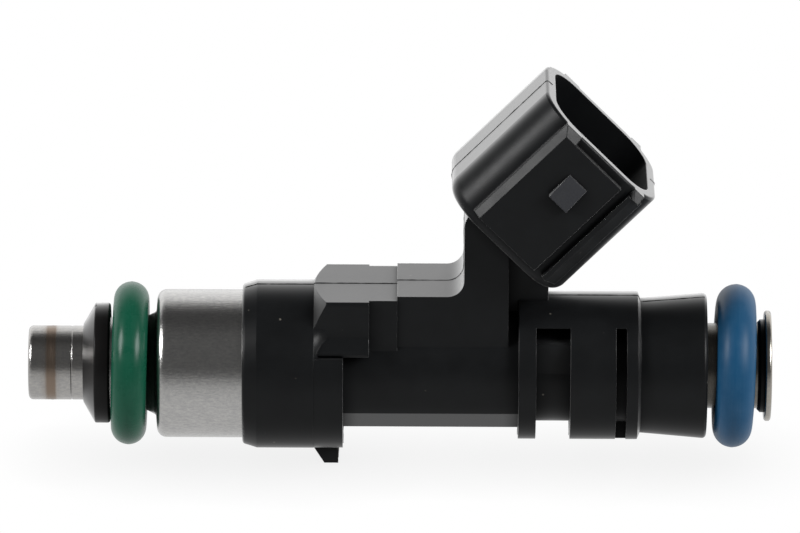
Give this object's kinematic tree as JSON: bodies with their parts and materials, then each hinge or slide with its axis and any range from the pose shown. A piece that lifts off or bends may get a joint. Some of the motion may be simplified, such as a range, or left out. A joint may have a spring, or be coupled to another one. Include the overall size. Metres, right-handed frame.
{
  "type": "port fuel injector",
  "caption": "Electromagnetic port fuel injector with an overmoulded black body, bright steel housing, angled plug socket and a seal at each end.",
  "frame": {"origin": "on the injector axis in the plane of the nozzle tip's end face", "axes": "+X along the injector axis from nozzle to fuel inlet, +Z towards the plug socket, +Y completes the right-handed frame"},
  "size_m": [0.0661, 0.0172, 0.0354],
  "materials": {
    "body_plastic": "satin black glass-filled nylon",
    "ring_plastic": "satin black nylon",
    "housing_steel": "fine turned, bright",
    "sleeve_steel": "drawn stainless, bright",
    "inlet_steel": "drawn stainless, bright",
    "core_iron": "chromed magnetic steel",
    "seat_steel": "ground",
    "ball_steel": "polished",
    "spring_steel": "drawn wire",
    "green_rubber": "satin fluorocarbon rubber, green",
    "blue_rubber": "satin fluorocarbon rubber, blue",
    "bobbin_plastic": "natural nylon",
    "winding_copper": "enamelled copper wire",
    "blade_tin": "tinned bronze",
    "collar_brass": "plain brass",
    "filter_plastic": "natural nylon",
    "filter_mesh": "woven"
  },
  "bodies": {
    "injector_body": {"overmold_body": "body_plastic", "terminal_left": "blade_tin", "terminal_right": "blade_tin", "magnet_housing": "housing_steel", "magnet_cover": "core_iron", "valve_sleeve": "sleeve_steel", "inlet_tube": "inlet_steel", "valve_seat": "seat_steel", "spray_disc": "seat_steel", "inner_pole": "core_iron", "adjusting_sleeve": "seat_steel", "return_spring": "spring_steel", "coil_bobbin": "bobbin_plastic", "coil_winding": "winding_copper", "filter_collar": "collar_brass", "filter_frame": "filter_plastic", "filter_mesh": "filter_mesh", "lower_retainer_ring": "ring_plastic", "upper_backup_ring": "ring_plastic", "lower_o_ring": "green_rubber", "upper_o_ring": "blue_rubber"},
    "needle": {"armature": "core_iron", "needle_tube": "seat_steel", "valve_ball": "ball_steel"}
  },
  "joints": [
    {"name": "needle_lift", "type": "slide", "parent": "injector_body", "child": "needle", "axis": [1, 0, 0], "range_m": [0, 0.00008], "deforming": ["return_spring"]}
  ]
}
